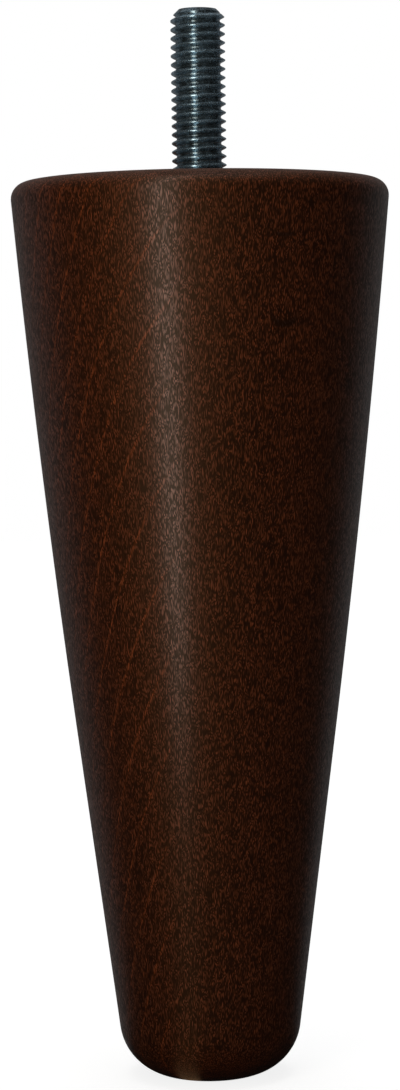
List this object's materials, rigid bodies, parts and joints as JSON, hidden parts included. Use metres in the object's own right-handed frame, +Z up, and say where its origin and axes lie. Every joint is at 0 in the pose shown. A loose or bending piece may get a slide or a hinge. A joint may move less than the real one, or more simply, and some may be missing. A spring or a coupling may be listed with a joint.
{
  "type": "tapered furniture leg",
  "caption": "Round tapered wooden furniture leg with a side eased towards the top, a rounded foot and a threaded steel stud that screws it into a frame or mounting plate.",
  "frame": {"origin": "middle of the foot, on the surface that the leg stands on", "axes": "+Z up along the leg's axis, from the foot to the stud; the part is round, so X and Y are any pair across it"},
  "size_m": [0.0546, 0.0546, 0.1546],
  "materials": {
    "stained_wood": "dark brown stain under satin lacquer",
    "blackened_steel": "black zinc plate, satin"
  },
  "bodies": {
    "root": {"leg_body": "stained_wood", "hanger_bolt": "blackened_steel"}
  },
  "joints": []
}
